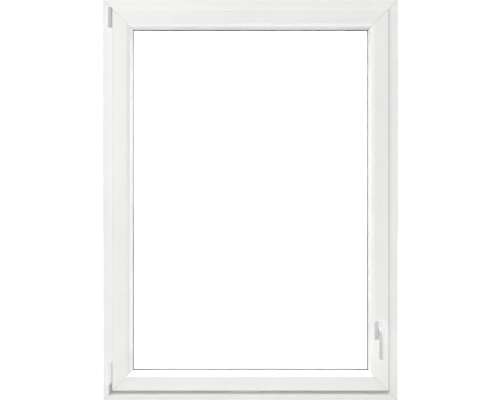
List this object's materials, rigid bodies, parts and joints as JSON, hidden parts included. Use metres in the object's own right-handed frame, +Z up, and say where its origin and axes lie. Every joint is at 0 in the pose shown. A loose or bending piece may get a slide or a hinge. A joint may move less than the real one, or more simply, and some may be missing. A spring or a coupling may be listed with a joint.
{
  "type": "casement window",
  "caption": "White plastic casement window: a double-glazed sash that turns inwards on left-hand hinges or tilts at the top, worked by a lever handle on the right.",
  "frame": {"origin": "centre of the outer frame's underside, at the middle of the frame profile's depth", "axes": "+X to the right seen from the room, +Y from the room to the outside, +Z up; the room side faces -Y"},
  "size_m": [1.105, 0.147, 1.5],
  "materials": {
    "white_pvc": "smooth satin",
    "white_cap": "smooth",
    "white_enamel": "satin enamel",
    "gasket_rubber": "matte",
    "edge_sealant": "matte",
    "clear_glass": "clear float",
    "spacer_aluminium": "satin",
    "block_plastic": "matte",
    "galvanised_steel": "galvanised",
    "zinc_steel": "zinc plated, satin",
    "grey_metal": "satin grey"
  },
  "bodies": {
    "frame": {"frame_sill": "white_pvc", "frame_lock_jamb": "white_pvc", "frame_head": "white_pvc", "frame_hinge_jamb": "white_pvc", "frame_steel": "galvanised_steel", "frame_gasket": "gasket_rubber", "drain_caps": "white_pvc", "strikers_lock": "zinc_steel", "strikers_top": "zinc_steel", "strikers_bottom": "zinc_steel", "tilt_keep": "zinc_steel", "striker_screws": "zinc_steel", "stay_bearing": "grey_metal", "stay_bearing_cover": "white_cap", "stay_bearing_pin": "zinc_steel", "corner_bearing": "zinc_steel", "corner_bearing_cap": "white_cap"},
    "knuckle": {"pivot_knuckle": "zinc_steel"},
    "stay": {"stay_arm": "zinc_steel", "stay_slide_pin": "zinc_steel"},
    "sash": {"sash_bottom_rail": "white_pvc", "sash_lock_stile": "white_pvc", "sash_top_rail": "white_pvc", "sash_hinge_stile": "white_pvc", "sash_steel": "galvanised_steel", "sash_gasket": "gasket_rubber", "bead_bottom": "white_pvc", "bead_lock": "white_pvc", "bead_top": "white_pvc", "bead_hinge": "white_pvc", "glazing_gasket_room": "gasket_rubber", "glazing_gasket_outer": "gasket_rubber", "glass_pane_room": "clear_glass", "glass_pane_outer": "clear_glass", "glass_spacer": "spacer_aluminium", "glass_edge_seal": "edge_sealant", "setting_blocks": "block_plastic", "gearbox_case": "zinc_steel", "faceplate_lock": "zinc_steel", "faceplate_top": "zinc_steel", "faceplate_bottom": "zinc_steel", "corner_guides": "zinc_steel", "fitting_screws": "zinc_steel", "stay_catch": "zinc_steel", "corner_hinge": "zinc_steel", "corner_hinge_cap": "white_cap", "hinge_screws": "zinc_steel", "rosette_base": "zinc_steel", "rosette_cover": "white_cap", "handle_screws": "zinc_steel", "sash_lifter": "block_plastic"},
    "handle": {"handle_lever": "white_enamel", "handle_spindle": "zinc_steel", "drive_pinion": "zinc_steel"},
    "rod_lock": {"drive_rod_lock": "zinc_steel", "cams_lock": "zinc_steel"},
    "rod_top": {"drive_rod_top": "zinc_steel", "cams_top": "zinc_steel"},
    "rod_bottom": {"drive_rod_bottom": "zinc_steel", "cams_bottom": "zinc_steel"}
  },
  "joints": [
    {"name": "sash_turn", "type": "hinge", "parent": "frame", "child": "knuckle", "pos_m": [-0.5255, -0.0435, 0.038], "axis": [0, 0, -1], "range_deg": [0, 90]},
    {"name": "sash_tilt", "type": "hinge", "parent": "knuckle", "child": "sash", "pos_m": [-0.5255, -0.0435, 0.038], "axis": [1, 0, 0], "range_deg": [0, 6]},
    {"name": "stay_swing", "type": "hinge", "parent": "knuckle", "child": "stay", "pos_m": [-0.5255, -0.0435, 1.4495], "axis": [0, 0, -1], "range_deg": [0, 19.28]},
    {"name": "handle_turn", "type": "hinge", "parent": "sash", "child": "handle", "pos_m": [0.4875, -0.1, 0.262], "axis": [0, 1, 0], "range_deg": [0, 180]},
    {"name": "lock_rod_slide", "type": "slide", "parent": "sash", "child": "rod_lock", "axis": [0, 0, 1], "range_m": [0, 0.0213]},
    {"name": "top_rod_slide", "type": "slide", "parent": "sash", "child": "rod_top", "axis": [-1, 0, 0], "range_m": [0, 0.0213]},
    {"name": "bottom_rod_slide", "type": "slide", "parent": "sash", "child": "rod_bottom", "axis": [1, 0, 0], "range_m": [0, 0.0213]}
  ],
  "couplings": [
    {"joint": "stay_swing", "follows": "sash_tilt", "ratio": 3.18},
    {"joint": "lock_rod_slide", "follows": "handle_turn", "m_per_rad": 0.00675},
    {"joint": "top_rod_slide", "follows": "handle_turn", "m_per_rad": 0.00675},
    {"joint": "bottom_rod_slide", "follows": "handle_turn", "m_per_rad": 0.00675}
  ]
}
